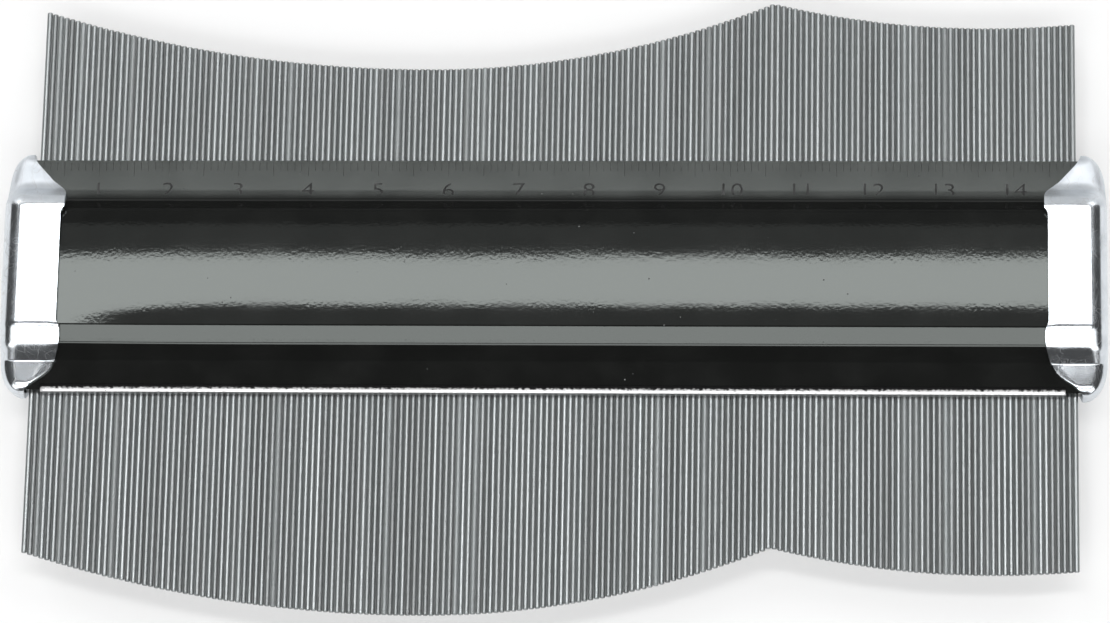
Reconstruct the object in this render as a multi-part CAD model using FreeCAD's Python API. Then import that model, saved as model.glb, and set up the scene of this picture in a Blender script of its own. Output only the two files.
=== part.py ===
import FreeCAD, Part
import math
import os

from FreeCAD import Vector

# Contour gauge, in millimetres. X is the reading on the scale, Y runs along the pins towards the scale,
# Z points out of the front. The origin is the scale's zero, on the plane that the gauge lies on.

# Pins: steel wires side by side, drawn with flats so that a long row stays light
pin_diameter = 0.8
pin_side_gap = 0.02
pin_length = 80.0
pin_flats = 12
pin_group_count = 45

# Shell halves, as a section across the ridge: Y from the middle line, heights above the flange
shell_length = 150.0
sheet_thickness = 1.0
pin_face_gap = 0.02
scale_edge = 16.8
lower_edge = 17.1
ridge_height = 3.1
upper_foot = 10.9
upper_shoulder = 8.6
lower_shoulder = 8.4
lower_knee = 10.9
knee_drop = 0.8
lower_foot = 12.9
crown_rise = 0.8
crown_margin = 1.1
upper_flange_rise = 0.09
lower_flange_rise = 0.6
upper_foot_bend = 1.2
shoulder_bend = 1.5
crease_bend = 1.25
lower_foot_bend = 0.4

# Bright edging hooked over the lower edge of each half
edging_thickness = 0.35
edging_lap = 0.8
edging_setback = 3.0
edging_corner_round = 0.3

# Friction pads under the ridges
pad_fit_gap = 0.1
pad_shoulder_setback = 1.0

# Plates that close the ends of the pin row
end_plate_thickness = 1.1
end_plate_gap = 0.05
end_plate_edge_setback = 0.5

# End clips
clip_thickness = 0.75
clip_fit_gap = 0.02
clip_overhang = 2.95
clip_end_wall = 1.0
clip_reach = 5.4
clip_ear = 0.5
clip_ear_width = 2.3
clip_ear_bend = 0.4
clip_lip_reach = 0.6
clip_lip_setback = 0.3
clip_lip_bend = 0.5
clip_taper_start = 10.9
clip_taper_bend = 2.0
clip_lower_taper_start = 10.5
clip_heel_reach = 4.3
clip_heel = 14.6
clip_heel_bend = 1.4
clip_foot_room = 1.2
clip_foot_bend = 2.6
clip_shoulder_room = 1.0
clip_shoulder_bend = 1.3
clip_corner_round = 2.9
clip_edge_round = 1.75
clip_outer_steps = 3
clip_inner_steps = 1
clip_tip_share = 0.75

# Profile that the pins stand in: two hollows that meet at a crest
left_hollow = 57.0
left_hollow_depth = 9.05
left_hollow_outer_radius = 182.0
left_hollow_inner_radius = 126.0
right_hollow = 136.5
right_hollow_depth = 2.9
right_hollow_radius = 126.0
crest = 105.9

pin_pitch = pin_diameter + pin_side_gap
flange_under = pin_diameter / 2 + pin_face_gap
flange_top = flange_under + sheet_thickness
upper_foot_top = flange_top + upper_flange_rise
lower_foot_top = flange_top + lower_flange_rise
lower_flange_slope = lower_flange_rise / (lower_edge - lower_foot)
shoulder_top = flange_top + ridge_height
knee_top = shoulder_top - knee_drop
crown_middle = (upper_shoulder - lower_shoulder) / 2
crown_angle = math.atan(crown_rise / (upper_shoulder - crown_middle))
crown_radius = (crown_rise / math.sin(crown_angle) - crown_margin) / math.tan(crown_angle)
crown_top = shoulder_top + crown_rise - crown_radius * (1 / math.cos(crown_angle) - 1)
body_edge = max(scale_edge, lower_edge)
clip_growth = clip_fit_gap + clip_thickness
clip_mouth = clip_reach + clip_ear + clip_thickness
pin_plane = crown_top + clip_growth


def bend_arc(corner, arrival, departure, radius):
    """The arc of one bend, from where the line arrives to where it departs."""
    inward = ((arrival + departure) / 2 - corner).normalize()
    half_angle = (arrival - corner).getAngle(departure - corner) / 2
    middle = corner + inward * (radius / math.sin(half_angle) - radius)
    return Part.Arc(arrival, middle, departure).toShape()


def bent_line(points, bends, closed=False):
    """Straight runs from point to point, with a tangent arc of the given radius at each bend."""
    arrivals = []
    departures = []
    for i, corner in enumerate(points):
        arrivals.append(corner)
        departures.append(corner)
        if bends[i] > 0:
            back = (points[i - 1] - corner).normalize()
            onward = (points[(i + 1) % len(points)] - corner).normalize()
            setback = bends[i] / math.tan(back.getAngle(onward) / 2)
            arrivals[i] = corner + back * setback
            departures[i] = corner + onward * setback
    edges = []
    for i, corner in enumerate(points):
        if bends[i] > 0:
            edges.append(bend_arc(corner, arrivals[i], departures[i], bends[i]))
        if i < len(points) - 1 or closed:
            edges.append(Part.makeLine(departures[i], arrivals[(i + 1) % len(points)]))
    return Part.Wire(edges)


def across(section):
    """Points of a section across the gauge, from pairs of Y and height over the middle of the pins."""
    return [Vector(0, y, z) for y, z in section]


def run_between(face, start, end):
    """A section face drawn out along the gauge, from one reading to another."""
    solid = face.extrude(Vector(end - start, 0, 0))
    solid.translate(Vector(start, 0, 0))
    return solid


def turned_over(shape):
    """The same piece on the rear half: turned half a turn about the middle line of the pin row."""
    copy = shape.copy()
    copy.rotate(Vector(0, 0, 0), Vector(1, 0, 0), 180)
    return copy


def at_far_end(shape):
    """The piece's opposite hand, at the other end of the scale."""
    return shape.mirror(Vector(shell_length / 2, 0, 0), Vector(1, 0, 0))


def shell_line():
    """The outer face of the front shell in section, from the edge with the scale to the lower edge."""
    section = [
        (scale_edge, flange_top),
        (upper_foot, upper_foot_top),
        (upper_shoulder, shoulder_top),
        (crown_middle, shoulder_top + crown_rise),
        (-lower_shoulder, shoulder_top),
        (-lower_knee, knee_top),
        (-lower_foot, lower_foot_top),
        (-lower_edge, flange_top),
    ]
    bends = [0, upper_foot_bend, shoulder_bend, crown_radius, crease_bend, crease_bend, lower_foot_bend, 0]
    return bent_line(across(section), bends)


def shell():
    """One half of the body: sheet steel pressed into a crowned ridge between two leaning flanges."""
    sheet = shell_line().makeOffset2D(-sheet_thickness, 0, True, True)
    return run_between(sheet, 0, shell_length)


def space_under_sheet(gap):
    """The section of the hollow in one half, down to the middle of the pins and a gap clear of the sheet."""
    roof = shell_line().makeOffset2D(-sheet_thickness - gap, 0, False, True)
    first = roof.OrderedVertexes[0].Point
    last = roof.OrderedVertexes[-1].Point
    floor = Part.makePolygon([last, Vector(0, last.y, 0), Vector(0, first.y, 0), first])
    return Part.Face(Part.Wire(roof.OrderedEdges + floor.OrderedEdges))


def edging():
    """An angle of thin bright steel: one leg laps the flange, the other covers its cut edge."""
    outside = lower_edge + edging_thickness
    lap_end = edging_lap - lower_edge
    lap_end_foot = flange_top + edging_lap * lower_flange_slope
    section = [
        (-outside, flange_under),
        (-lower_edge, flange_under),
        (-lower_edge, flange_top),
        (lap_end, lap_end_foot),
        (lap_end, lap_end_foot + edging_thickness),
        (-outside, flange_top + edging_thickness - edging_thickness * lower_flange_slope),
    ]
    bends = [0, 0, 0, 0, 0, edging_corner_round]
    face = Part.Face(bent_line(across(section), bends, True))
    return run_between(face, edging_setback, shell_length - edging_setback)


def friction_pad():
    """The pad that fills the ridge and bears on the pins, so that each stays where it is pushed."""
    start = end_plate_thickness + end_plate_gap
    hollow = run_between(space_under_sheet(pad_fit_gap), start, shell_length - start)
    lower_side = pad_shoulder_setback - lower_shoulder
    upper_side = upper_shoulder - pad_shoulder_setback
    corner = Vector(0, lower_side, flange_under)
    limits = Part.makeBox(shell_length, upper_side - lower_side, crown_top, corner)
    return hollow.common(limits)


def end_plate():
    """A plate that keeps the halves apart at one end and holds the pin row in sideways."""
    front = run_between(space_under_sheet(end_plate_gap), 0, end_plate_thickness)
    reach = min(scale_edge, lower_edge) - end_plate_edge_setback
    corner = Vector(0, -reach, -crown_top)
    limits = Part.makeBox(end_plate_thickness, 2 * reach, 2 * crown_top, corner)
    return front.fuse(turned_over(front)).common(limits).removeSplitter()


def clip_outline(growth, tip_bend):
    """The outline of both shells in section with flat ridge tops, grown by an amount all round."""
    front = [
        (body_edge, flange_top),
        (upper_foot + clip_foot_room, upper_foot_top),
        (upper_shoulder + clip_shoulder_room, crown_top),
        (-lower_shoulder, crown_top),
        (-lower_knee, knee_top),
        (-lower_foot, lower_foot_top),
        (-body_edge, flange_top),
    ]
    rear = [(-y, -z) for y, z in front]
    upper_bends = [tip_bend, clip_foot_bend, clip_shoulder_bend]
    lower_bends = [crease_bend, crease_bend, clip_foot_bend, tip_bend]
    outline = bent_line(across(front + rear), 2 * (upper_bends + lower_bends), True)
    return outline.makeOffset2D(growth, 0 if tip_bend else 2)


def clip_body(growth, tip_bend, closed_end, edge_round, round_steps):
    """A solid of the clip's section, drawn in to a rounded edge at its closed end."""
    rings = []
    for step in range(round_steps + 1):
        angle = step / round_steps * math.pi / 2
        ring = clip_outline(growth - edge_round * (1 - math.sin(angle)), tip_bend)
        ring.translate(Vector(closed_end + edge_round * (1 - math.cos(angle)), 0, 0))
        rings.append(ring)
    mouth = clip_outline(growth, tip_bend)
    mouth.translate(Vector(clip_mouth, 0, 0))
    return Part.makeLoft(rings + [mouth], True, True)


def clip_plan(growth, closed_end, corner_round):
    """A block over the clip's whole plan, with its two outer corners rounded."""
    side = body_edge + growth
    length = clip_mouth - closed_end
    block = Part.makeBox(length, 2 * side, 2 * pin_plane, Vector(closed_end, -side, -pin_plane))
    corners = [edge for edge in block.Edges if edge.BoundBox.XMax < 0 and edge.BoundBox.ZLength > pin_plane]
    return block.makeFillet(corner_round, corners)


def clip_leaf_outline():
    """One leaf from the front: an ear beside each foot of the ridge, tapers to the edges, a heel below."""
    outer_x = -clip_overhang - clip_thickness
    outer_y = body_edge + clip_growth + clip_thickness
    lip_corner = body_edge - clip_lip_setback
    ear_end = clip_reach + clip_ear
    ear_start = clip_taper_start - clip_ear_width
    corners = [
        (outer_x, outer_y, 0),
        (clip_lip_reach, outer_y, 0),
        (clip_lip_reach, lip_corner, clip_lip_bend),
        (ear_end, clip_taper_start, clip_taper_bend),
        (ear_end, ear_start, clip_ear_bend),
        (clip_reach, ear_start - clip_ear, clip_ear_bend),
        (clip_reach, clip_ear - ear_start, clip_ear_bend),
        (ear_end, -ear_start, clip_ear_bend),
        (ear_end, -clip_lower_taper_start, clip_taper_bend),
        (clip_heel_reach, -clip_heel, clip_heel_bend),
        (clip_lip_reach, -lip_corner, clip_lip_bend),
        (clip_lip_reach, -outer_y, 0),
        (outer_x, -outer_y, 0),
    ]
    points = [Vector(x, y, 0) for x, y, bend in corners]
    bends = [bend for x, y, bend in corners]
    return Part.Face(bent_line(points, bends, True))


def end_clip():
    """A plated steel cap that grips both shells over their end."""
    tip_bend = clip_tip_share * flange_top
    outside = clip_body(clip_growth, tip_bend, -clip_overhang, clip_edge_round, clip_outer_steps)
    outside = outside.common(clip_plan(clip_growth, -clip_overhang, clip_corner_round))
    hollow_end = clip_end_wall - clip_overhang
    inside = clip_body(clip_fit_gap, 0, hollow_end, clip_edge_round - clip_thickness, clip_inner_steps)
    inside = inside.common(clip_plan(clip_fit_gap, hollow_end, clip_corner_round - clip_end_wall))
    leaf = clip_leaf_outline().extrude(Vector(0, 0, pin_plane))
    return outside.cut(inside).common(leaf.fuse(turned_over(leaf)))


def pin_shift(reading):
    """How far the pin at a reading is pushed from its middle position."""
    if reading < left_hollow:
        lowest, depth, radius = left_hollow, left_hollow_depth, left_hollow_outer_radius
    elif reading < crest:
        lowest, depth, radius = left_hollow, left_hollow_depth, left_hollow_inner_radius
    else:
        lowest, depth, radius = right_hollow, right_hollow_depth, right_hollow_radius
    return radius - math.sqrt(radius ** 2 - (reading - lowest) ** 2) - depth


def pin(reading):
    """One pin, with flats towards its neighbours and towards the shells."""
    corner_radius = pin_diameter / 2 / math.cos(math.pi / pin_flats)
    start = pin_shift(reading) - pin_length / 2
    corners = []
    for i in range(pin_flats + 1):
        angle = (2 * i + 1) * math.pi / pin_flats
        sideways = corner_radius * math.cos(angle)
        height = corner_radius * math.sin(angle)
        corners.append(Vector(reading + sideways, start, height))
    return Part.Face(Part.makePolygon(corners)).extrude(Vector(0, pin_length, 0))


def pin_groups():
    """Neighbouring pins in groups, from the scale's zero on, as many pins as fit between the end plates."""
    room = shell_length - 2 * (end_plate_thickness + end_plate_gap)
    count = int(room / pin_pitch)
    first = (shell_length - (count - 1) * pin_pitch) / 2
    groups = []
    for group in range(pin_group_count):
        start = round(group * count / pin_group_count)
        end = round((group + 1) * count / pin_group_count)
        groups.append(Part.makeCompound([pin(first + i * pin_pitch) for i in range(start, end)]))
    return groups


def gauge():
    """Every piece of the gauge by name, about the middle plane of the pins."""
    pieces = {
        "front_shell": shell(),
        "front_edging": edging(),
        "front_friction_pad": friction_pad(),
        "left_end_plate": end_plate(),
        "left_end_clip": end_clip(),
    }
    for name in ("shell", "edging", "friction_pad"):
        pieces["rear_" + name] = turned_over(pieces["front_" + name])
    for name in ("end_plate", "end_clip"):
        pieces["right_" + name] = at_far_end(pieces["left_" + name])
    for i, group in enumerate(pin_groups()):
        pieces["pins_%02d" % (i + 1)] = group
    return pieces


os.makedirs("parts", exist_ok=True)
for name, shape in gauge().items():
    shape.translate(Vector(0, 0, pin_plane))
    shape.exportStep("parts/" + name + ".step")
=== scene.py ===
import math
import random

import bmesh
import bpy
from mathutils import Matrix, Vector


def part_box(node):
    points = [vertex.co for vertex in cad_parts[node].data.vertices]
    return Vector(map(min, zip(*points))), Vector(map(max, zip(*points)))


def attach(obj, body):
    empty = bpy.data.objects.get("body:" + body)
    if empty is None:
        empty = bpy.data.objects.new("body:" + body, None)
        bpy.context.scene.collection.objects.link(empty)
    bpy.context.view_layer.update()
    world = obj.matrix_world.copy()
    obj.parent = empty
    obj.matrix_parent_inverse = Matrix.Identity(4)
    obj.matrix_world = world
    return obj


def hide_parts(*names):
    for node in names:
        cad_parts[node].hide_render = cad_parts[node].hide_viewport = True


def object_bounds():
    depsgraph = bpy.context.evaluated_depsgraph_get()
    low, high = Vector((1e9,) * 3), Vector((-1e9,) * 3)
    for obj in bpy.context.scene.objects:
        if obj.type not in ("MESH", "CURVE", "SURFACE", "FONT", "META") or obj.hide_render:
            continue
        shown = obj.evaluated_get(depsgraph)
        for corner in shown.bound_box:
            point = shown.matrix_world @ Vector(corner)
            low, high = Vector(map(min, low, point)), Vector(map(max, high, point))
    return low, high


# Contour gauge lying on a white table, in metres. X is the reading on the scale, Y runs along the
# pins towards the scale, Z points out of the front. Pieces are shaped about the middle plane of the
# pins, with heights measured from it, and are lifted to their place when they are finished.

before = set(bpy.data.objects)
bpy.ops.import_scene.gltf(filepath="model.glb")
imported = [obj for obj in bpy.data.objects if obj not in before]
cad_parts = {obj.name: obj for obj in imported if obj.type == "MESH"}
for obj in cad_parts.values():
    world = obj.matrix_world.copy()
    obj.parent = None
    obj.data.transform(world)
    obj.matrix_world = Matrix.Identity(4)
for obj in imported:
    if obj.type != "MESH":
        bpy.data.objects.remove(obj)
cad_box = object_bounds()

# Directions to cut across, and how near two places count as the same
along_scale = (1, 0, 0)
along_pins = (0, 1, 0)
same_place = 1e-7

# The frame's own sizes
first_group_low, first_group_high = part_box("pins_01")
last_group_low, last_group_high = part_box("pins_45")
shell_low, shell_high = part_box("front_shell")
clip_low, clip_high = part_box("left_end_clip")
pin_plane = (first_group_low.z + first_group_high.z) / 2
pin_diameter = first_group_high.z - first_group_low.z
shell_length = shell_high.x
scale_edge = shell_high.y
lower_edge = -shell_low.y
clip_side = clip_high.y
clip_end = clip_low.x

# Pins
pin_groups = 45
pins_per_group = 4
pin_count = pin_groups * pins_per_group
first_pin = first_group_low.x + pin_diameter / 2
pin_pitch = (last_group_high.x - pin_diameter / 2 - first_pin) / (pin_count - 1)
pin_length = 0.07996
pin_sides = 16
pin_tip_round = 0.00012
pin_push_spread = 0.00002

# Profile that the pins stand in: two hollows that meet at a crest
left_hollow = 0.057
left_hollow_depth = 0.00905
left_hollow_outer_radius = 0.182
left_hollow_inner_radius = 0.126
right_hollow = 0.1365
right_hollow_depth = 0.0029
right_hollow_radius = 0.126
crest = 0.1059

# Shell halves, as a section across the ridge: Y from the middle line, heights above the pins
sheet_thickness = 0.001
pin_face_gap = 0.00002
flange_top = pin_diameter / 2 + pin_face_gap + sheet_thickness
ridge_height = 0.0031
upper_curl = 0.012
upper_foot = 0.0109
upper_shoulder = 0.0086
lower_shoulder = 0.0084
lower_knee = 0.01098
knee_drop = 0.0008
lower_foot = 0.0129
crown_rise = 0.0008
crown_margin = 0.0011
upper_curl_rise = 0.00005
upper_flange_rise = 0.00008
lower_flange_rise = 0.0006
upper_curl_bend = 0.06
upper_foot_bend = 0.0006
shoulder_bend = 0.0006
crease_bend = 0.00125
lower_foot_bend = 0
sheet_edge_round = 0.00018
shell_bend_steps = [3, 10, 10, 28, 8, 8, 5]
shell_stations = 40

# The lacquer pulls thin along the upper shoulder, and its ripple dies out before the upper foot
thin_lacquer_line = 0.0087
thin_lacquer_reach = 0.0002
ripple_fade = 0.0006

# The press left the lower shoulder a little proud beside the left clip
shoulder_lift = 0.0003
shoulder_lift_reach = 0.013

# Edging hooked over the lower edge of each half
edging_thickness = 0.00035
edging_wall = edging_thickness * 0.55
edging_height = edging_thickness * 0.6
edging_droop = edging_thickness * 0.1
edging_lap = 0.0008
edging_setback = 0.003
edging_hem = 0.00003
edging_lap_bend = 0.0006
edging_fold_bend = 0.00016
edging_rim_round = 0.00005
edging_bend_steps = [4, 4, 5]

# End clips
clip_thickness = 0.00075
clip_gap = 0.00002
clip_upper_foot = 0.0121
clip_shoulder = 0.0096
clip_shoulder_bend = 0.0013
clip_foot_bend = 0.0026
clip_knee_bend = 0.002
clip_lower_foot_bend = 0.0008
clip_tip_bend = 0.00106
clip_upper_lean = 0.00036
clip_lower_lean = 0.00046
clip_end_round = 0.001
clip_end_steps = 6
clip_end_fall = 0.07
clip_end_fall_reach = 0.0012
clip_upper_corner = 0.0062
clip_lower_corner = 0.0038
clip_corner_depth = 0.0023
clip_reach = 0.0054
clip_ear = 0.0005
clip_ear_width = 0.0023
clip_ear_bend = 0.0003
clip_taper_start = 0.0109
clip_taper_bend = 0.0011
clip_lower_taper_start = 0.0105
clip_heel_reach = 0.0043
clip_heel = 0.0146
clip_heel_bend = 0.001
clip_lip_reach = 0.0006
clip_lip_setback = 0.0003
clip_lip_bend = 0.0003
clip_rim_round = 0.00016
clip_rim_steps = 3
clip_bend_steps = [8, 8, 6, 6, 8]
clip_tip_steps = 6
clip_station_step = 0.0002
clip_length_stations = (0.04, 0.08, 0.12, 0.165, 0.25, 0.5, 0.75)

# The plating is duller where the press stretched the clip, from its upper shoulder on
clip_stretch_start = 0.009
clip_stretch_end = 0.0098

# Scale, printed on both halves, with a number each centimetre and a mark each millimetre
number_step = 0.01
tick_step = 0.001
number_height = 0.002
number_stretch = 1.35
number_middle = 0.01238
number_relief = 0.000012
number_thinning = 0.012
figure_share = 0.7
tick_width = 0.00005
tick_length = 0.0013
long_tick_length = 0.0021
tick_edge_gap = 0.0002

# White table, with a low rim far out
table_radius = 2.6
table_rim = 0.4
table_rim_height = 0.26

# Camera, fitted to the photograph
photo_width = 1110
focal_length_px = 5068.2
camera_place = (0.118094, -0.201773, 0.691849)
camera_tilt = math.radians(16)
camera_yaw = math.radians(-3.421)
camera_roll = math.radians(-0.16)


def corner_turns(points):
    """The turn of each corner of a bent line, in radians, from the runs on its two sides."""
    turns = []
    for before, here, after in zip(points, points[1:], points[2:]):
        arriving = math.atan2(here[1] - before[1], here[0] - before[0])
        leaving = math.atan2(after[1] - here[1], after[0] - here[0])
        turn = abs(leaving - arriving)
        turns.append(min(turn, 2 * math.pi - turn))
    return turns


def begin(name, add, **options):
    """A new primitive by itself, in edit mode, with all of it selected."""
    if bpy.context.object and bpy.context.object.mode == "EDIT":
        bpy.ops.object.mode_set(mode="OBJECT")
    bpy.ops.object.select_all(action="DESELECT")
    add(**options)
    piece = bpy.context.object
    piece.name = name
    piece.data.name = name
    if piece.type == "MESH":
        bpy.ops.object.mode_set(mode="EDIT")
        bpy.ops.mesh.select_all(action="SELECT")
    return piece


def pick(kind, test):
    """Selects the vertices, edges or faces in edit mode whose every corner passes a test."""
    bpy.ops.mesh.select_mode(type=kind)
    bpy.ops.mesh.select_all(action="DESELECT")
    mesh = bmesh.from_edit_mesh(bpy.context.edit_object.data)
    items = {"VERT": mesh.verts, "EDGE": mesh.edges, "FACE": mesh.faces}[kind]
    for item in items:
        corners = [item] if kind == "VERT" else item.verts
        if all(test(corner.co) for corner in corners):
            item.select = True
    mesh.select_flush_mode()
    bmesh.update_edit_mesh(bpy.context.edit_object.data)


def pick_fold(y, z):
    """Selects the straight edges that run along the scale at one corner of a section."""
    pick("EDGE", lambda place: math.hypot(place.y - y, place.z - z) < same_place)


def move(x=0.0, y=0.0, z=0.0):
    """Moves what is selected."""
    bpy.ops.transform.translate(value=(x, y, z))


def cut_across(normal, places):
    """Cuts the whole piece in edit mode by planes across one axis."""
    for place in places:
        bpy.ops.mesh.select_all(action="SELECT")
        point = [place * component for component in normal]
        bpy.ops.mesh.bisect(plane_co=point, plane_no=normal)


def reshape(piece, change):
    """Moves every vertex of a piece to where a function puts it."""
    bpy.ops.object.mode_set(mode="OBJECT")
    for vertex in piece.data.vertices:
        vertex.co = change(vertex.co.copy())
    piece.data.update()


def apply(piece, kind, **settings):
    """Adds a modifier to a piece, sets it and applies it."""
    if piece.mode == "EDIT":
        bpy.ops.object.mode_set(mode="OBJECT")
    modifier = piece.modifiers.new(kind.title(), kind)
    for name, value in settings.items():
        setattr(modifier, name, value)
    bpy.context.view_layer.objects.active = piece
    bpy.ops.object.modifier_apply(modifier=modifier.name)


def round_edges(piece, width, segments, sharper_than):
    """Rounds every edge of a piece that turns by more than an angle in degrees."""
    angle = math.radians(sharper_than)
    apply(piece, "BEVEL", width=width, segments=segments, limit_method="ANGLE", angle_limit=angle)


def only(piece):
    """Selects one piece and makes it the active one."""
    bpy.ops.object.select_all(action="DESELECT")
    piece.select_set(True)
    bpy.context.view_layer.objects.active = piece


def own_copy(piece, name):
    """A copy of a piece with its own mesh, selected by itself."""
    copy = piece.copy()
    copy.data = piece.data.copy()
    copy.name = name
    copy.data.name = name
    bpy.context.collection.objects.link(copy)
    only(copy)
    return copy


def turned_over(piece, name):
    """The same piece on the rear half, turned half a turn about the middle line of the pins."""
    copy = own_copy(piece, name)
    bpy.ops.object.mode_set(mode="EDIT")
    bpy.ops.mesh.select_all(action="SELECT")
    bpy.ops.transform.rotate(value=math.pi, orient_axis="X", center_override=(0, 0, 0))
    bpy.ops.object.mode_set(mode="OBJECT")
    return copy


def at_far_end(piece, name):
    """The piece's opposite hand at the other end of the scale."""
    copy = own_copy(piece, name)
    bpy.ops.object.mode_set(mode="EDIT")
    bpy.ops.mesh.select_all(action="SELECT")
    bpy.ops.transform.resize(value=(-1, 1, 1), center_override=(shell_length / 2, 0, 0))
    bpy.ops.mesh.select_all(action="SELECT")
    bpy.ops.mesh.flip_normals()
    bpy.ops.object.mode_set(mode="OBJECT")
    return copy


def settle(piece, body, material, replaced=(), smooth_angle=35):
    """Lifts a finished piece to its place and says what it rides on, stands for and is made of."""
    only(piece)
    piece.data.transform(Matrix.Translation((0, 0, pin_plane)))
    bpy.ops.object.shade_smooth_by_angle(angle=math.radians(smooth_angle))
    apply(piece, "WEIGHTED_NORMAL", keep_sharp=True, weight=80)
    piece.data.materials.clear()
    piece.data.materials.append(material)
    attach(piece, body)
    if replaced:
        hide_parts(*replaced)


def drawn_strip(name, section, start, end):
    """A strip of surface between two readings, drawn out from corner to corner of a section."""
    (first_y, first_z), (second_y, second_z) = section[0], section[1]
    piece = begin(name, bpy.ops.mesh.primitive_plane_add, size=1)
    bpy.ops.transform.resize(value=(end - start, abs(first_y - second_y), 1))
    move((start + end) / 2, (first_y + second_y) / 2, first_z)
    pick("EDGE", lambda place: abs(place.y - second_y) < same_place)
    move(z=second_z - first_z)
    for (here_y, here_z), (there_y, there_z) in zip(section[1:], section[2:]):
        step = (0, there_y - here_y, there_z - here_z)
        bpy.ops.mesh.extrude_region_move(TRANSFORM_OT_translate={"value": step})
    return piece


def bend_corners(section, bends, segments):
    """Rounds the strip's corners to their bending radii."""
    turns = corner_turns(section)
    for (y, z), turn, radius, count in zip(section[1:-1], turns, bends, segments):
        if radius > 0:
            pick_fold(y, z)
            reach = radius * math.tan(turn / 2)
            bpy.ops.mesh.bevel(offset=reach, segments=count, profile=0.5, affect="EDGES")


def node_tree_adder(tree):
    """A function that adds a node to a tree and fills in its settings and its inputs."""
    def add(kind, inputs=None, **settings):
        node = tree.nodes.new(kind)
        for name, value in settings.items():
            setattr(node, name, value)
        for name, value in (inputs or {}).items():
            if isinstance(value, bpy.types.NodeSocket):
                tree.links.new(value, node.inputs[name])
            else:
                node.inputs[name].default_value = value
        return node
    return add


def effect(name, inputs, outputs):
    """An empty node group with named inputs, each with its value, and named outputs."""
    group = bpy.data.node_groups.new(name, "ShaderNodeTree")
    for socket_name, value in inputs.items():
        kind = "NodeSocketVector" if isinstance(value, tuple) else "NodeSocketFloat"
        socket = group.interface.new_socket(socket_name, in_out="INPUT", socket_type=kind)
        socket.default_value = value
    for socket_name in outputs:
        group.interface.new_socket(socket_name, in_out="OUTPUT", socket_type="NodeSocketFloat")
    add = node_tree_adder(group)
    return group, add, add("NodeGroupInput").outputs, add("NodeGroupOutput").inputs


def grain_effect():
    """Fine streaks that run along one axis: drawn wire, rolled strip and brushed plate."""
    group, add, given, result = effect(
        "drawn grain",
        {"Place": (0.0, 0.0, 0.0), "Across": 9000.0, "Along": 120.0},
        ["Height", "Streak"])
    across, along = given["Across"], given["Along"]
    stretch = add("ShaderNodeCombineXYZ", {"X": across, "Y": along, "Z": across}).outputs[0]
    scaled = add(
        "ShaderNodeVectorMath", {0: given["Place"], 1: stretch}, operation="MULTIPLY").outputs[0]
    fine = add(
        "ShaderNodeTexNoise", {"Vector": scaled, "Scale": 1.0, "Detail": 3.0, "Roughness": 0.6})
    broad_place = add("ShaderNodeVectorMath", {0: scaled, "Scale": 0.13}, operation="SCALE")
    broad = add(
        "ShaderNodeTexNoise", {"Vector": broad_place.outputs[0], "Scale": 1.0, "Detail": 2.0})
    group.links.new(fine.outputs[0], result["Height"])
    group.links.new(broad.outputs[0], result["Streak"])
    return group


def orange_peel_effect():
    """The ripple of a stoved finish: a fine pebble over a slow wave, with a few nibs of dust."""
    group, add, given, result = effect(
        "orange peel",
        {"Place": (0.0, 0.0, 0.0), "Pebble": 900.0, "Wave": 90.0, "Nibs": 420.0},
        ["Height", "Nib"])
    place = given["Place"]
    pebble = add(
        "ShaderNodeTexNoise",
        {"Vector": place, "Scale": given["Pebble"], "Detail": 2.0, "Roughness": 0.5})
    wave = add("ShaderNodeTexNoise", {"Vector": place, "Scale": given["Wave"], "Detail": 1.0})
    swell = add("ShaderNodeMath", {0: wave.outputs[0], 1: 3.0}, operation="MULTIPLY")
    surface = add("ShaderNodeMath", {0: pebble.outputs[0], 1: swell.outputs[0]}, operation="ADD")
    cells = add(
        "ShaderNodeTexVoronoi", {"Vector": place, "Scale": given["Nibs"], "Randomness": 1.0})
    dot = add(
        "ShaderNodeMapRange",
        {"Value": cells.outputs["Distance"], "From Min": 0.1, "From Max": 0.0})
    chosen = add("ShaderNodeSeparateColor", {"Color": cells.outputs["Color"]})
    rare = add("ShaderNodeMath", {0: chosen.outputs[0], 1: 0.93}, operation="GREATER_THAN")
    nib = add("ShaderNodeMath", {0: dot.outputs[0], 1: rare.outputs[0]}, operation="MULTIPLY")
    group.links.new(surface.outputs[0], result["Height"])
    group.links.new(nib.outputs[0], result["Nib"])
    return group


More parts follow.
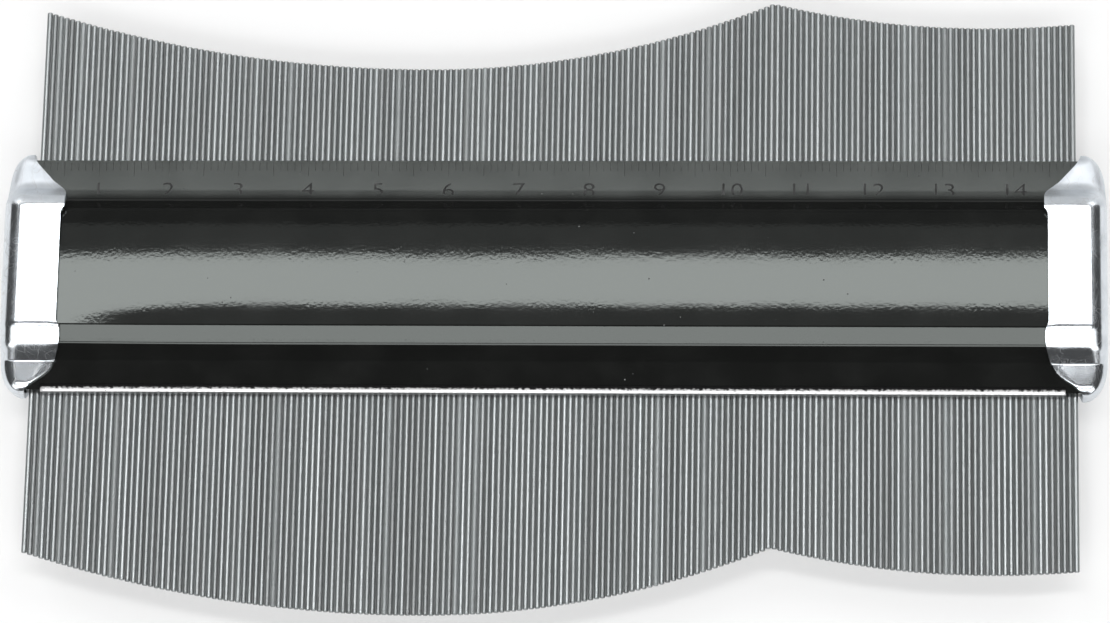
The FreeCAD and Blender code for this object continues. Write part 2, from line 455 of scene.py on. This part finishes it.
def scuff_effect():
    """Handling marks: thin scratches in all directions and soft smears between them."""
    group, add, given, result = effect(
        "scuffs",
        {"Place": (0.0, 0.0, 0.0), "Scratches": 260.0, "Smears": 160.0},
        ["Scratch", "Smear"])
    place = given["Place"]
    bend = add("ShaderNodeTexNoise", {"Vector": place, "Scale": given["Smears"], "Detail": 2.0})
    swirl = add(
        "ShaderNodeVectorMath", {0: bend.outputs["Color"], "Scale": 0.004}, operation="SCALE")
    curved = add("ShaderNodeVectorMath", {0: place, 1: swirl.outputs[0]}, operation="ADD")
    scratch = None
    for turn, squeeze in ((0.3, 0.05), (1.2, 0.03), (2.3, 0.04)):
        line_place = add("ShaderNodeMapping", {
            "Vector": curved.outputs[0],
            "Rotation": (0.0, 0.0, turn),
            "Scale": (1.0, squeeze, 1.0)})
        cells = add(
            "ShaderNodeTexVoronoi",
            {"Vector": line_place.outputs[0], "Scale": given["Scratches"]},
            feature="DISTANCE_TO_EDGE")
        line = add(
            "ShaderNodeMapRange",
            {"Value": cells.outputs["Distance"], "From Min": 0.008, "From Max": 0.0}).outputs[0]
        if scratch:
            line = add("ShaderNodeMath", {0: scratch, 1: line}, operation="MAXIMUM").outputs[0]
        scratch = line
    patches = add(
        "ShaderNodeTexNoise",
        {"Vector": place, "Scale": given["Smears"], "Detail": 4.0, "Roughness": 0.55})
    patch = add(
        "ShaderNodeMapRange", {"Value": patches.outputs[0], "From Min": 0.4, "From Max": 0.7})
    group.links.new(scratch, result["Scratch"])
    group.links.new(patch.outputs[0], result["Smear"])
    return group


class Finish:
    """A material in the making: its nodes, its shader and the piece's own coordinates."""

    def __init__(self, name, **shader_values):
        self.material = bpy.data.materials.new(name)
        self.material.use_nodes = True
        self.tree = self.material.node_tree
        self.add = node_tree_adder(self.tree)
        self.shader = self.tree.nodes["Principled BSDF"]
        self.place = self.add("ShaderNodeTexCoord").outputs["Object"]
        for socket_name, value in shader_values.items():
            self.shader.inputs[socket_name.replace("_", " ")].default_value = value

    def group(self, group, **inputs):
        node = self.add("ShaderNodeGroup", node_tree=group)
        self.tree.links.new(self.place, node.inputs["Place"])
        for name, value in inputs.items():
            node.inputs[name].default_value = value
        return node.outputs

    def spread(self, value, low, high, start=0.0, end=1.0):
        """A value between two limits mapped to another range."""
        limits = {"From Min": start, "From Max": end, "To Min": low, "To Max": high}
        return self.add("ShaderNodeMapRange", {"Value": value, **limits}).outputs[0]

    def maths(self, operation, first, second=0.0):
        return self.add("ShaderNodeMath", {0: first, 1: second}, operation=operation).outputs[0]

    def coordinate(self, axis):
        """The piece's own X, Y or Z."""
        return self.add("ShaderNodeSeparateXYZ", {"Vector": self.place}).outputs[axis]

    def off_middle(self):
        """Distance from the middle line of the pins, towards either edge."""
        return self.maths("ABSOLUTE", self.coordinate("Y"))

    def scale_side(self):
        """Distance from the middle line towards the scale, on either half of the gauge."""
        above = self.maths("SUBTRACT", self.coordinate("Z"), pin_plane)
        return self.maths("MULTIPLY", self.coordinate("Y"), self.maths("SIGN", above))

    def between(self, mask, first, second):
        """A colour that goes from the first to the second with a mask."""
        factor, colour_a, colour_b, colour_result = 0, 6, 7, 2
        values = {factor: mask, colour_a: first, colour_b: second}
        return self.add("ShaderNodeMix", values, data_type="RGBA").outputs[colour_result]

    def relief(self, height, strength, depth, below=None):
        """Bump from a height, laid over another bump where there is one."""
        values = {"Strength": strength, "Distance": depth, "Height": height}
        node = self.add("ShaderNodeBump", values)
        if below:
            self.tree.links.new(below, node.inputs["Normal"])
        return node.outputs[0]

    def connect(self, **sockets):
        for name, value in sockets.items():
            self.tree.links.new(value, self.shader.inputs[name.replace("_", " ")])
        return self.material


def grey(level, tint=(1.0, 1.0, 1.0)):
    """A colour near grey."""
    return (level * tint[0], level * tint[1], level * tint[2], 1.0)


def lacquer_finish():
    """Gloss black stoved lacquer: deep black, an orange peel on the ridge, a few nibs of dust.

    The flanges are a little duller, and the lacquer is thin and dull along the upper shoulder.
    """
    finish = Finish("black_lacquer", Specular_Tint=(0.93, 1.0, 0.965, 1.0))
    peel = finish.group(orange_peel, Pebble=2100.0, Wave=110.0, Nibs=900.0)
    marks = finish.group(scuffs, Scratches=120.0, Smears=140.0)
    off_middle = finish.off_middle()
    black = (1.0, 1.03, 0.98)
    colour = finish.between(marks["Smear"], grey(0.0065, black), grey(0.0095, black))
    dusty = finish.between(peel["Nib"], colour, grey(0.16))
    off_shoulder = finish.maths("SUBTRACT", finish.scale_side(), thin_lacquer_line)
    off_shoulder = finish.maths("ABSOLUTE", off_shoulder)
    reach = thin_lacquer_reach
    thin = finish.spread(off_shoulder, 0.3, 0.0, reach, 2 * reach)
    gloss = finish.spread(off_shoulder, 0.1, 0.5, 1.25 * reach, 2.5 * reach)
    flange = finish.spread(off_middle, 0.0, 0.05, upper_foot, upper_curl)
    rough = finish.spread(marks["Smear"], 0.055, 0.08)
    rough = finish.maths("ADD", rough, finish.maths("ADD", flange, thin))
    ridge = finish.spread(off_middle, 1.0, 0.15, upper_foot - ripple_fade, upper_foot)
    ripple = finish.relief(finish.maths("MULTIPLY", peel["Height"], ridge), 0.55, 0.00001)
    bumps = finish.relief(peel["Nib"], 0.7, 0.00003, ripple)
    return finish.connect(
        Base_Color=dusty, Roughness=rough, Specular_IOR_Level=gloss, Normal=bumps)


def nickel_finish():
    """Polished nickel plate over pressed steel, with slow waves of the press and fine scratches."""
    finish = Finish("polished_nickel", Metallic=1.0)
    waves = finish.group(orange_peel, Pebble=260.0, Wave=55.0)
    marks = finish.group(scuffs, Scratches=210.0, Smears=300.0)
    clean = grey(0.75, (0.95, 1.0, 1.05))
    smeared = grey(0.65, (0.94, 1.0, 1.06))
    colour = finish.between(marks["Smear"], clean, smeared)
    scratched = finish.between(finish.spread(marks["Scratch"], 0.0, 0.5), colour, grey(0.5))
    stretched = finish.spread(
        finish.scale_side(), 0.0, 0.29, clip_stretch_start, clip_stretch_end)
    dull = finish.maths("ADD", finish.spread(marks["Smear"], 0.17, 0.25), stretched)
    rough = finish.maths("ADD", dull, finish.spread(marks["Scratch"], 0.0, 0.1))
    wavy = finish.relief(waves["Height"], 0.2, 0.00002)
    return finish.connect(Base_Color=scratched, Roughness=rough, Normal=wavy)


def edging_finish():
    """Bright rolled strip with grain along its length, and an inner edge that is rougher and
    painted near black in a ragged band, as a painted dark reflection.
    """
    finish = Finish("bright_edging", Metallic=1.0)
    turned = finish.add(
        "ShaderNodeMapping", {"Vector": finish.place, "Rotation": (0.0, 0.0, math.pi / 2)})
    grain = finish.add(
        "ShaderNodeGroup",
        {"Place": turned.outputs[0], "Across": 12000.0, "Along": 500.0},
        node_tree=drawn_grain).outputs
    marks = finish.group(scuffs, Scratches=700.0, Smears=2400.0)
    # Painted dark reflection: the lap goes near black towards its inner edge in a ragged band,
    # which is also made rougher.
    inner = finish.spread(finish.off_middle(), 1.0, -0.08, lower_edge - edging_lap, lower_edge)
    patchy = finish.maths("ADD", inner, finish.spread(marks["Smear"], -0.2, 0.2))
    painted_dark_reflection = finish.spread(patchy, 0.0, 1.0, 0.0, 0.4)
    colour = finish.between(painted_dark_reflection, grey(0.55), grey(0.012))
    rough = finish.spread(marks["Smear"], 0.28, 0.38)
    rough = finish.maths("ADD", rough, finish.spread(painted_dark_reflection, 0.0, 0.3))
    bumps = finish.relief(grain["Height"], 0.1, 0.000006)
    return finish.connect(Base_Color=colour, Roughness=rough, Normal=bumps)


def pin_finish():
    """Drawn steel wire: fine streaks along each pin, and no two pins quite alike.

    The drawing marks spread the gloss round each pin, and one pin in eight or so is duller.
    """
    finish = Finish("pin_steel", Metallic=1.0, Anisotropic=0.7)
    grain = finish.group(drawn_grain, Across=9000.0, Along=60.0)
    from_first = finish.maths("SUBTRACT", finish.coordinate("X"), first_pin - pin_pitch / 2)
    number = finish.maths("FLOOR", finish.maths("DIVIDE", from_first, pin_pitch))
    chance = finish.add(
        "ShaderNodeTexWhiteNoise", {"W": number}, noise_dimensions="1D").outputs[0]
    steel = (0.94, 1.0, 1.01)
    bright = finish.between(chance, grey(0.28, steel), grey(0.4, steel))
    streaks = finish.spread(grain["Streak"], 0.0, 0.5, 0.45, 0.75)
    colour = finish.between(streaks, bright, grey(0.19))
    dull = finish.spread(chance, 0.0, 0.12, 0.86, 0.9)
    rough = finish.maths("ADD", finish.spread(grain["Streak"], 0.34, 0.43, 0.3, 0.7), dull)
    bumps = finish.relief(grain["Height"], 0.25, 0.000012)
    around = finish.add("ShaderNodeCombineXYZ", {"X": 1.0}).outputs[0]
    return finish.connect(Base_Color=colour, Roughness=rough, Normal=bumps, Tangent=around)


def plate_finish():
    """Plain cut steel plate, greyed by handling."""
    finish = Finish("plate_steel", Metallic=1.0)
    grain = finish.group(drawn_grain, Across=5000.0, Along=400.0)
    marks = finish.group(scuffs, Scratches=300.0, Smears=500.0)
    colour = finish.between(marks["Smear"], grey(0.48), grey(0.3))
    rough = finish.spread(grain["Streak"], 0.3, 0.5)
    bumps = finish.relief(grain["Height"], 0.4, 0.00001)
    return finish.connect(Base_Color=colour, Roughness=rough, Normal=bumps)


def rubber_finish():
    """Matt black rubber with a fine open grain and a bloom of dust."""
    finish = Finish("pad_rubber", Roughness=0.8)
    peel = finish.group(orange_peel, Pebble=3000.0, Wave=300.0)
    marks = finish.group(scuffs, Scratches=500.0, Smears=700.0)
    colour = finish.between(marks["Smear"], grey(0.018), grey(0.04))
    rough = finish.spread(marks["Smear"], 0.7, 0.9)
    bumps = finish.relief(peel["Height"], 0.6, 0.00002)
    return finish.connect(Base_Color=colour, Roughness=rough, Normal=bumps)


def print_finish():
    """The scale's thin matt print, worn in places."""
    finish = Finish("scale_print", Roughness=0.6)
    marks = finish.group(scuffs, Scratches=600.0, Smears=900.0)
    colour = finish.between(marks["Smear"], grey(0.006), grey(0.02))
    rough = finish.spread(marks["Smear"], 0.7, 0.4)
    bumps = finish.relief(marks["Smear"], 0.3, 0.000005)
    return finish.connect(Base_Color=colour, Roughness=rough, Normal=bumps)


def table_finish():
    """White table that takes the shadow near the gauge and stays plain white further out."""
    finish = Finish("white_table", Base_Color=grey(0.9), Roughness=0.9)
    finish.shader.inputs["Specular IOR Level"].default_value = 0.0
    tree, add = finish.tree, finish.add
    ray = add("ShaderNodeLightPath").outputs
    reflected = finish.maths("MAXIMUM", ray["Is Glossy Ray"], ray["Is Transmission Ray"])
    seen = finish.maths("MAXIMUM", ray["Is Camera Ray"], reflected)
    middle = (shell_length / 2, 0.0, 0.0)
    distance = add("ShaderNodeVectorMath", {0: finish.place, 1: middle}, operation="DISTANCE")
    far = finish.spread(distance.outputs["Value"], 0.35, 1.0, 0.13, 0.4)
    plain = add("ShaderNodeEmission", {"Color": grey(1.0), "Strength": 1.0})
    blend = add("ShaderNodeMixShader", {"Fac": finish.maths("MULTIPLY", seen, far)})
    tree.links.new(finish.shader.outputs[0], blend.inputs[1])
    tree.links.new(plain.outputs[0], blend.inputs[2])
    output = tree.nodes["Material Output"]
    tree.links.new(blend.outputs[0], output.inputs["Surface"])
    return finish.material


def pin_shift(reading):
    """How far the pin at a reading is pushed from its middle position."""
    if reading < left_hollow:
        lowest, depth, radius = left_hollow, left_hollow_depth, left_hollow_outer_radius
    elif reading < crest:
        lowest, depth, radius = left_hollow, left_hollow_depth, left_hollow_inner_radius
    else:
        lowest, depth, radius = right_hollow, right_hollow_depth, right_hollow_radius
    return radius - math.sqrt(radius ** 2 - (reading - lowest) ** 2) - depth


def model_pin():
    """One pin: a cut length of wire with its tips broken round."""
    pin = begin(
        "pin", bpy.ops.mesh.primitive_cylinder_add,
        vertices=pin_sides, radius=pin_diameter / 2, depth=pin_length)
    bpy.ops.transform.rotate(value=math.pi / 2, orient_axis="X", center_override=(0, 0, 0))
    for end in (-1, 1):
        pick("FACE", lambda place: abs(place.y - end * pin_length / 2) < same_place)
        bpy.ops.mesh.bevel(offset=pin_tip_round, segments=1, affect="EDGES")
    bpy.ops.object.mode_set(mode="OBJECT")
    return pin


def pin_row(material):
    """The whole row of pins, four to a body, each pushed to its place in the profile."""
    chance = random.Random(7)
    pin = model_pin()
    for group in range(pin_groups):
        body = "pins_%02d" % (group + 1)
        copies = []
        for index in range(group * pins_per_group, (group + 1) * pins_per_group):
            reading = first_pin + index * pin_pitch
            copy = own_copy(pin, body + "_wires")
            push = pin_shift(reading) + chance.uniform(-pin_push_spread, pin_push_spread)
            copy.data.transform(Matrix.Translation((reading, push, 0)))
            copies.append(copy)
        only(copies[0])
        for copy in copies[1:]:
            copy.select_set(True)
        bpy.ops.object.join()
        settle(copies[0], body, material, [body], smooth_angle=50)
        copies[0].name = body + "_wires"
    bpy.data.objects.remove(pin)


def shell_section():
    """Corners of the front shell's outer face, from the edge with the scale to the lower edge."""
    shoulder_top = flange_top + ridge_height
    crown_middle = (upper_shoulder - lower_shoulder) / 2
    return [
        (scale_edge, flange_top),
        (upper_curl, flange_top + upper_curl_rise),
        (upper_foot, flange_top + upper_flange_rise),
        (upper_shoulder, shoulder_top),
        (crown_middle, shoulder_top + crown_rise),
        (-lower_shoulder, shoulder_top),
        (-lower_knee, shoulder_top - knee_drop),
        (-lower_foot, flange_top + lower_flange_rise),
        (-lower_edge, flange_top),
    ]


def crown_angle():
    """How steeply the crown's two sides climb to its middle."""
    return math.atan(2 * crown_rise / (upper_shoulder + lower_shoulder))


def press_mark(place):
    """Lifts the lower shoulder near the left clip, where the press left it proud."""
    near_end = math.exp(-(place.x / shoulder_lift_reach) ** 2)
    down = max(0.0, -place.y)
    rise = min(1.0, down / lower_shoulder) ** 2
    fall = max(0.0, min(1.0, (lower_foot - down) / (lower_foot - lower_knee)))
    place.z += shoulder_lift * near_end * rise * fall
    return place


def shell_cuts():
    """Readings where the long pieces are cut across, to carry a change of form along the scale."""
    return [shell_length * step / shell_stations for step in range(1, shell_stations)]


def front_shell():
    """Sheet steel pressed into a crowned ridge between two flanges, with softened cut edges."""
    section = shell_section()
    crown_side = crown_rise / math.sin(crown_angle())
    crown_radius = (crown_side - crown_margin) / math.tan(crown_angle())
    upper_bends = [upper_curl_bend, upper_foot_bend, shoulder_bend]
    lower_bends = [crease_bend, crease_bend, lower_foot_bend]
    piece = drawn_strip("front_shell_sheet", section, 0, shell_length)
    bend_corners(section, upper_bends + [crown_radius] + lower_bends, shell_bend_steps)
    cut_across(along_scale, shell_cuts())
    reshape(piece, press_mark)
    apply(piece, "SOLIDIFY", thickness=sheet_thickness, offset=-1, use_even_offset=True)
    round_edges(piece, sheet_edge_round, segments=2, sharper_than=60)
    return piece


def front_edging():
    """Thin bright strip folded over the shell's lower edge, with its lap rolled down."""
    slope = lower_flange_rise / (lower_edge - lower_foot)
    lap_end = edging_lap - lower_edge
    outer = -lower_edge - edging_thickness
    hem_top = flange_top + edging_hem * slope + edging_height
    lap_top = hem_top + (edging_lap - edging_hem) * slope
    section = [
        (lap_end, lap_top - 2 * edging_droop),
        (lap_end - edging_thickness / 2, lap_top - edging_droop),
        (edging_hem - lower_edge, hem_top),
        (outer, hem_top),
        (outer, flange_top - sheet_thickness),
    ]
    end = shell_length - edging_setback
    piece = drawn_strip("front_edging_strip", section, edging_setback, end)
    bend_corners(section, [edging_lap_bend, edging_lap_bend, edging_fold_bend], edging_bend_steps)
    cut_across(along_scale, shell_cuts())
    apply(piece, "SOLIDIFY", thickness=edging_wall, offset=-1, use_even_offset=True)
    round_edges(piece, edging_rim_round, segments=2, sharper_than=60)
    return piece


def clip_section():
    """Corners of the front half of the clip's inner face, from edge to edge of the shells."""
    inner_top = cad_box[1].z - pin_plane - clip_thickness
    side = clip_side - clip_thickness
    tip_top = flange_top + clip_gap
    shoulder_top = flange_top + ridge_height
    return [
        (side, 0),
        (side, tip_top),
        (clip_upper_foot, tip_top + clip_upper_lean),
        (clip_shoulder, inner_top),
        (-lower_shoulder, inner_top),
        (-lower_knee, shoulder_top - knee_drop + clip_gap),
        (-lower_foot, tip_top + clip_lower_lean),
        (-side, tip_top),
        (-side, 0),
    ]


def rounded_line(points, radii, across):
    """Reach of the clip's leaf at a distance across it, on straight runs with rounded corners."""
    last_a, last_b = points[-1]
    if across >= last_a:
        return last_b
    value = points[0][1]
    for (a0, b0), (a1, b1) in zip(points, points[1:]):
        if a0 <= across <= a1:
            share = (across - a0) / (a1 - a0)
            value = b0 + (b1 - b0) * share
    for index in range(1, len(points) - 1):
        (a0, b0), (a1, b1), (a2, b2) = points[index - 1:index + 2]
        reach = radii[index]
        if abs(across - a1) < reach:
            slope_in = (b1 - b0) / (a1 - a0)
            slope_out = (b2 - b1) / (a2 - a1)
            offset = across - a1
            turned_in = slope_in * (offset - reach) ** 2
            turned_out = slope_out * (offset + reach) ** 2
            value = b1 + (turned_out - turned_in) / (4 * reach)
    return value


def leaf_reach(across):
    """How far the clip's front leaf reaches along the scale at a place across it.

    The side of the scale tapers once, and the lower side has a heel.
    """
    ear_start = clip_taper_start - clip_ear_width
    ear_end = clip_reach + clip_ear
    ear = [(-0.001, clip_reach), (ear_start - clip_ear, clip_reach), (ear_start, ear_end)]
    ear_bends = [0, clip_ear_bend, clip_ear_bend]
    if across > 0:
        taper, taper_bends = [(clip_taper_start, ear_end)], [clip_taper_bend]
    else:
        taper = [(clip_lower_taper_start, ear_end), (clip_heel, clip_heel_reach)]
        taper_bends = [clip_taper_bend, clip_heel_bend]
    lip_corner = clip_side - clip_thickness - clip_lip_setback
    lip = [(lip_corner, clip_lip_reach), (clip_side, clip_lip_reach)]
    bends = ear_bends + taper_bends + [clip_lip_bend, 0]
    return rounded_line(ear + taper + lip, bends, abs(across))


def corner_shift(across):
    """How far the clip's closed end draws back in plan, in a long upper or a short lower corner."""
    corner = clip_upper_corner if across > 0 else clip_lower_corner
    past = abs(across) - (clip_side - clip_thickness - corner)
    share = max(0.0, min(1.0, past / corner))
    return clip_corner_depth * (1 - math.sqrt(1 - share ** 2))


def shape_leaf(place):
    """Draws the clip's mouth to the leaf's outline and eases its closed end and outer corners."""
    mouth = clip_reach + clip_ear
    closed_end = clip_end + clip_thickness + clip_gap
    start = closed_end + clip_end_round
    if place.x > start:
        across = place.y if place.z >= 0 else -place.y
        place.x = start + (place.x - start) * (leaf_reach(across) - start) / (mouth - start)
    past_shells = max(0.0, -place.x)
    place.z *= 1 - clip_end_fall * (past_shells / clip_end_fall_reach) ** 2
    front_share = max(0.0, min(1.0, 0.5 + place.z / (2 * flange_top)))
    shift = front_share * corner_shift(place.y) + (1 - front_share) * corner_shift(-place.y)
    end_share = (clip_lip_reach - place.x) / (clip_lip_reach - closed_end)
    place.x += shift * max(0.0, min(1.0, end_share))
    return place


def keep_to_end(place):
    """Keeps a place on the clip from passing its closed end."""
    place.x = max(place.x, clip_end)
    return place


def clip_half(start, mouth):
    """The front half of the clip's inner face, bent and cut into stations both ways."""
    section = clip_section()
    piece = drawn_strip("left_end_clip_cap", section[1:-1], start, mouth)
    tips = (section[1], section[-2])
    for y, z in tips:
        pick_fold(y, z)
        bpy.ops.mesh.extrude_region_move(TRANSFORM_OT_translate={"value": (0, 0, -z)})
    bends = [clip_foot_bend, clip_shoulder_bend, crease_bend, clip_knee_bend, clip_lower_foot_bend]
    bend_corners(section[1:-1], bends, clip_bend_steps)
    for y, z in tips:
        pick_fold(y, z)
        bpy.ops.mesh.bevel(
            offset=clip_tip_bend, segments=clip_tip_steps, profile=0.5, affect="EDGES")
    steps = int((clip_side - clip_thickness) / clip_station_step)
    for sign in (-1, 1):
        cut_across(along_pins, [sign * (step + 0.5) * clip_station_step for step in range(steps)])
    cut_across(along_scale, [start + (mouth - start) * share for share in clip_length_stations])
    bpy.ops.object.mode_set(mode="OBJECT")
    return piece


def close_end(start):
    """Closes the clip's end beyond the shells with a flat face inside rings that turn a quarter."""
    pick("EDGE", lambda place: abs(place.x - start) < same_place)
    bpy.ops.mesh.edge_face_add()
    pick("FACE", lambda place: abs(place.x - start) < same_place)
    for step in range(clip_end_steps):
        here = step / clip_end_steps * math.pi / 2
        there = (step + 1) / clip_end_steps * math.pi / 2
        inward = clip_end_round * (math.cos(here) - math.cos(there))
        outward = clip_end_round * (math.sin(there) - math.sin(here))
        bpy.ops.mesh.inset(thickness=inward, depth=outward, use_even_offset=True)
    bpy.ops.mesh.quads_convert_to_tris(ngon_method="BEAUTY")


def left_clip():
    """A plated cap pressed from sheet.

    It follows both shells, closes over their end and grips them with two leaves.
    """
    start = clip_end + clip_thickness + clip_gap + clip_end_round
    piece = clip_half(start, clip_reach + clip_ear)
    turned_over(piece, "rear_half")
    piece.select_set(True)
    bpy.context.view_layer.objects.active = piece
    bpy.ops.object.join()
    bpy.ops.object.mode_set(mode="EDIT")
    bpy.ops.mesh.select_all(action="SELECT")
    bpy.ops.mesh.remove_doubles(threshold=0.00001)
    close_end(start)
    bpy.ops.mesh.select_all(action="SELECT")
    bpy.ops.mesh.normals_make_consistent(inside=False)
    reshape(piece, shape_leaf)
    apply(piece, "SOLIDIFY", thickness=clip_thickness, offset=1)
    reshape(piece, keep_to_end)
    round_edges(piece, clip_rim_round, segments=clip_rim_steps, sharper_than=55)
    return piece


def surface_height(across):
    """Height of the front shell's upper flange at a distance from the middle line."""
    slope = upper_curl_rise / (scale_edge - upper_curl)
    return flange_top + (scale_edge - across) * slope


def scale_numbers():
    """The numbers 1 to 14, a centimetre apart, as a thin print on the flange."""
    numbers = []
    height = surface_height(number_middle)
    for number in range(1, round(shell_length / number_step)):
        middle = (number * number_step, number_middle, height)
        text = begin("number", bpy.ops.object.text_add, location=middle)
        text.data.body = str(number)
        text.data.align_x = "CENTER"
        text.data.align_y = "CENTER"
        text.data.size = number_height / figure_share
        text.data.offset = -number_thinning * number_height
        text.data.extrude = number_relief
        bpy.ops.object.convert(target="MESH")
        bpy.context.object.scale.x = number_stretch
        bpy.ops.object.transform_apply(location=True, rotation=True, scale=True)
        numbers.append(bpy.context.object)
    only(numbers[0])
    for number in numbers[1:]:
        number.select_set(True)
    bpy.ops.object.join()
    numbers[0].name = "front_scale_numbers"
    return numbers[0]


def scale_ticks():
    """The millimetre marks, a longer one at each five."""
    length = {True: long_tick_length, False: tick_length}
    tick = begin("tick", bpy.ops.mesh.primitive_cube_add, size=1)
    bpy.ops.transform.resize(value=(tick_width, 1, 2 * number_relief))
    bpy.ops.object.mode_set(mode="OBJECT")
    ticks = []
    for reading in range(1, round(shell_length / tick_step)):
        mark = length[reading % 5 == 0]
        middle = scale_edge - tick_edge_gap - mark / 2
        copy = own_copy(tick, "front_scale_ticks")
        copy.data.transform(Matrix.Diagonal((1, mark, 1, 1)))
        place = (reading * tick_step, middle, surface_height(middle))
        copy.data.transform(Matrix.Translation(place))
        ticks.append(copy)
    bpy.data.objects.remove(tick)
    only(ticks[0])
    for tick in ticks[1:]:
        tick.select_set(True)
    bpy.ops.object.join()
    ticks[0].name = "front_scale_ticks"
    return ticks[0]


def table():
    """A white table top with a low upturned rim far out."""
    floor = begin(
        "table_top", bpy.ops.mesh.primitive_circle_add,
        vertices=96, radius=table_radius, fill_type="NGON")
    bpy.ops.mesh.inset(thickness=table_rim)
    pick("VERT", lambda place: place.length > table_radius - table_rim / 2)
    move(z=table_rim_height)
    bpy.ops.object.mode_set(mode="OBJECT")
    bpy.ops.object.shade_smooth()
    floor.data.materials.append(table_finish())


def soft_lamp(name, lean, width, depth, radiance, bearing=0.0, distance=5.0):
    """A soft box over the gauge, leaning from overhead by an angle towards a bearing.

    Its width and depth are the angles they cover. A bearing of nothing is towards the scale, and
    it grows towards the left clip.
    """
    light = bpy.data.lights.new(name, "AREA")
    light.shape = "RECTANGLE"
    light.size = 2 * distance * math.tan(math.radians(width) / 2)
    light.size_y = 2 * distance * math.tan(math.radians(depth) / 2)
    light.energy = radiance * math.pi * light.size * light.size_y
    lamp = bpy.data.objects.new(name, light)
    bpy.context.collection.objects.link(lamp)
    lean = math.radians(lean)
    bearing = math.radians(bearing)
    middle = Matrix.Translation((shell_length / 2, 0, 0))
    turn = Matrix.Rotation(bearing, 4, "Z") @ Matrix.Rotation(-lean, 4, "X")
    lamp.matrix_world = middle @ turn @ Matrix.Translation((0, 0, distance))


def studio():
    """Three soft boxes with dark gaps between them, in a dim room that is lighter behind the scale.

    A weak glow lies round the one at the back, and four weaker boxes stand at the corners.
    """
    soft_lamp("back_soft_box", lean=13.75, width=46, depth=9.1, radiance=7.1)
    soft_lamp("back_glow", lean=14, width=46, depth=22, radiance=0.42)
    soft_lamp("near_soft_box", lean=-17.5, width=46, depth=9, radiance=4.9)
    soft_lamp("low_soft_box", lean=-39, width=40, depth=14, radiance=4.0)
    for bearing in (38, -38, 142, -142):
        soft_lamp("corner_fill", lean=55, width=30, depth=36, radiance=1.8, bearing=bearing)
    world = bpy.data.worlds.new("room")
    bpy.context.scene.world = world
    world.use_nodes = True
    tree = world.node_tree
    add = node_tree_adder(tree)
    direction = add("ShaderNodeTexCoord").outputs["Generated"]
    split = add("ShaderNodeSeparateXYZ", {"Vector": direction})
    level = add("ShaderNodeMapRange", {
        "Value": split.outputs["Y"],
        "From Min": 0.3,
        "From Max": 0.7,
        "To Min": 0.06,
        "To Max": 0.3})
    background = tree.nodes["Background"]
    tree.links.new(level.outputs[0], background.inputs["Color"])
    background.inputs["Strength"].default_value = 1.0


def camera():
    """The photograph's camera: a long lens, nearly overhead, on the lower side of the gauge."""
    data = bpy.data.cameras.new("camera")
    data.sensor_width = 36
    data.lens = data.sensor_width * focal_length_px / photo_width
    data.clip_start = 0.01
    data.clip_end = 20
    camera_object = bpy.data.objects.new("camera", data)
    bpy.context.collection.objects.link(camera_object)
    sideways = Matrix.Rotation(camera_roll, 3, "Z") @ Matrix.Rotation(camera_yaw, 3, "Y")
    turn = sideways @ Matrix.Rotation(-camera_tilt, 3, "X")
    camera_object.matrix_world = Matrix.Translation(camera_place) @ turn.transposed().to_4x4()
    bpy.context.scene.camera = camera_object
    bpy.context.scene.view_settings.view_transform = "Standard"


def dress_node(node, material):
    """Gives a CAD node that stays its finish."""
    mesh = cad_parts[node].data
    mesh.materials.clear()
    mesh.materials.append(material)


drawn_grain = grain_effect()
orange_peel = orange_peel_effect()
scuffs = scuff_effect()
lacquer = lacquer_finish()
nickel = nickel_finish()
edging_steel = edging_finish()
scale_print = print_finish()

camera()
pin_row(pin_finish())

front = front_shell()
rear = turned_over(front, "rear_shell_sheet")
settle(front, "body", lacquer, ["front_shell"], smooth_angle=30)
settle(rear, "body", lacquer, ["rear_shell"], smooth_angle=30)

front = front_edging()
rear = turned_over(front, "rear_edging_strip")
settle(front, "body", edging_steel, ["front_edging"])
settle(rear, "body", edging_steel, ["rear_edging"])

left = left_clip()
right = at_far_end(left, "right_end_clip_cap")
settle(left, "body", nickel, ["left_end_clip"])
settle(right, "body", nickel, ["right_end_clip"])

for front in (scale_numbers(), scale_ticks()):
    rear = turned_over(front, front.name.replace("front", "rear"))
    settle(front, "body", scale_print)
    settle(rear, "body", scale_print)

rubber = rubber_finish()
plate = plate_finish()
for node in ("front_friction_pad", "rear_friction_pad"):
    dress_node(node, rubber)
for node in ("left_end_plate", "right_end_plate"):
    dress_node(node, plate)

table()
studio()
